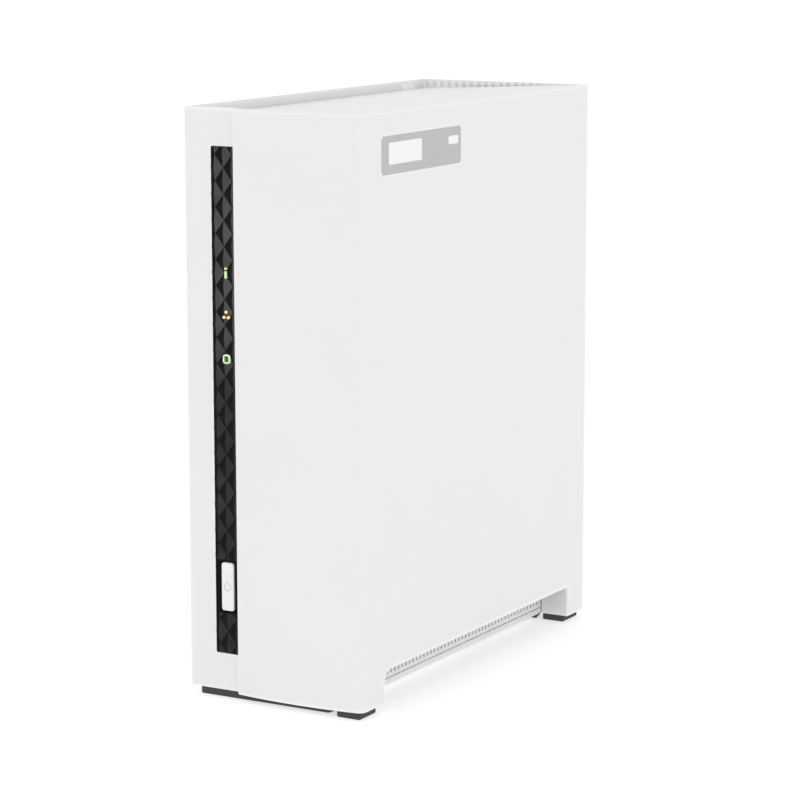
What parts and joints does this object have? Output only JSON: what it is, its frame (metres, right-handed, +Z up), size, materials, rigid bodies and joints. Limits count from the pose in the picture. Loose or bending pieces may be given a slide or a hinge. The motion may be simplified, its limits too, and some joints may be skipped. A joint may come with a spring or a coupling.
{
  "type": "network attached storage",
  "caption": "Upright white single-disk desktop network storage box with a sliding cover, a black faceted light strip and a power button.",
  "frame": {"origin": "middle of the footprint, on the surface that the feet stand on", "axes": "+Z up, +Y from the front to the rear, +X to the right as seen from the front"},
  "size_m": [0.0656, 0.1562, 0.1886],
  "materials": {
    "white_plastic": "fine matt, off-white",
    "strip_black": "glossy black, faceted",
    "button_white": "satin white",
    "lens_green": "pale green, lit",
    "lens_amber": "amber, lit",
    "lens_clear": "clear, frosted",
    "label_grey": "satin grey film",
    "rubber_grey": "matt",
    "steel": "bright zinc",
    "steel_dark": "black coated",
    "aluminium": "satin",
    "cast_aluminium": "as cast",
    "mirror_disk": "polished",
    "board_green": "solder mask",
    "chip_black": "matt moulded",
    "fan_black": "satin moulded",
    "brass": "bright"
  },
  "bodies": {
    "housing": {"left_shell": "white_plastic", "base_tray": "white_plastic", "rear_panel": "white_plastic", "front_strip": "strip_black", "light_status": "lens_green", "light_network": "lens_amber", "light_disk": "lens_green", "light_guide": "lens_clear", "front_board": "board_green", "front_leds": "lens_clear", "power_switch": "chip_black", "main_board": "board_green", "board_standoffs": "brass", "board_screws": "steel", "board_link": "chip_black", "processor": "chip_black", "heat_sink": "aluminium", "memory_chips": "chip_black", "capacitors": "aluminium", "coin_cell": "steel", "network_jack": "chip_black", "jack_contacts": "brass", "usb_port_upper": "steel", "usb_port_lower": "steel", "usb_tongues": "chip_black", "power_inlet": "chip_black", "power_pin": "brass", "reset_switch": "chip_black", "sata_board": "board_green", "sata_socket": "chip_black", "fan_frame": "fan_black", "fan_screws": "steel", "panel_screws": "steel", "cover_screws": "steel", "drive_bracket": "steel", "bracket_screws": "steel", "front_foot_bar": "rubber_grey", "rear_foot_bar": "rubber_grey"},
    "cover": {"side_cover": "white_plastic", "cover_label": "label_grey", "cover_foot_front": "rubber_grey", "cover_foot_rear": "rubber_grey"},
    "button": {"power_button": "button_white"},
    "reset": {"reset_plunger": "chip_black"},
    "rotor": {"fan_rotor": "fan_black"},
    "disk": {"drive_casting": "cast_aluminium", "drive_lid": "aluminium", "drive_lid_screws": "steel", "drive_screws": "steel", "drive_board": "board_green", "drive_plug": "chip_black", "magnet_yoke": "steel"},
    "platters": {"drive_platters": "mirror_disk", "spindle_hub": "aluminium"},
    "arm": {"head_arm": "aluminium"}
  },
  "joints": [
    {"name": "cover_slide", "type": "slide", "parent": "housing", "child": "cover", "axis": [0, -1, 0], "range_m": [0, 0.16]},
    {"name": "power_button_press", "type": "slide", "parent": "housing", "child": "button", "axis": [0, 1, 0], "range_m": [0, 0.0008], "stiffness_N_per_m": 800, "springref_m": -0.0004},
    {"name": "reset_press", "type": "slide", "parent": "housing", "child": "reset", "axis": [0, -1, 0], "range_m": [0, 0.0004], "stiffness_N_per_m": 800, "springref_m": -0.0004},
    {"name": "fan_spin", "type": "hinge", "parent": "housing", "child": "rotor", "pos_m": [0, 0.068, 0.145], "axis": [0, 1, 0], "continuous": true},
    {"name": "drive_unplug", "type": "slide", "parent": "housing", "child": "disk", "axis": [0, 0, 1], "range_m": [0, 0.006]},
    {"name": "platter_spin", "type": "hinge", "parent": "disk", "child": "platters", "pos_m": [0.0165, -0.0172, 0.118], "axis": [1, 0, 0], "continuous": true},
    {"name": "head_arm_swing", "type": "hinge", "parent": "disk", "child": "arm", "pos_m": [0.0158, 0.012, 0.05], "axis": [1, 0, 0], "range_deg": [0, 26]}
  ]
}
